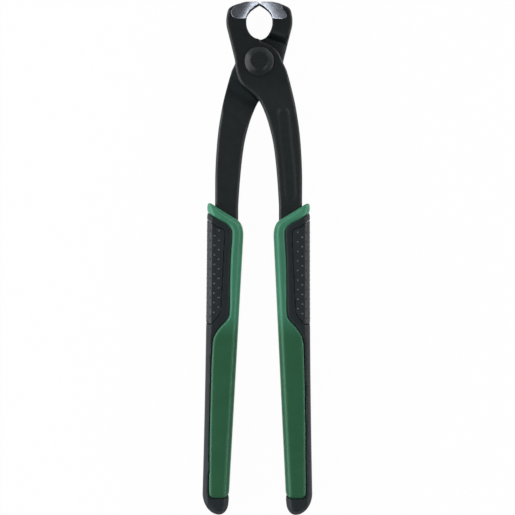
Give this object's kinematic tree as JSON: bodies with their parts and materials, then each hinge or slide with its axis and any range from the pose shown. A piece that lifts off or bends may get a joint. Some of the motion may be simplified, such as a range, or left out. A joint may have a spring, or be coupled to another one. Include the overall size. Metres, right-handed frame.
{
  "type": "rebar tying pliers",
  "caption": "Long-handled end-cutting pliers for twisting and cutting tie wire, with a lapped rivet joint, ground cutting jaws, curved arms and moulded grips.",
  "frame": {"origin": "on the pivot's axis, at the rivet's flat rear face, which lies in the plane the tool rests on", "axes": "+Y from the pivot to the jaws, +X to the right seen from the front, +Z through the thickness towards the front"},
  "size_m": [0.06, 0.28, 0.017],
  "materials": {
    "forged_steel": "satin",
    "rivet_steel": "satin",
    "hard_grip": "satin",
    "soft_grip": "matte",
    "pad_grip": "matte"
  },
  "bodies": {
    "front_half": {"front_lever": "forged_steel", "pivot_rivet": "rivet_steel", "right_grip_shell": "hard_grip", "right_grip_cover": "soft_grip", "right_grip_pad": "pad_grip"},
    "back_half": {"back_lever": "forged_steel", "left_grip_shell": "hard_grip", "left_grip_cover": "soft_grip", "left_grip_pad": "pad_grip"}
  },
  "joints": [
    {"name": "pivot_hinge", "type": "hinge", "parent": "front_half", "child": "back_half", "pos_m": [0, 0, 0.0085], "axis": [0, 0, -1], "range_deg": [0, 50]}
  ]
}
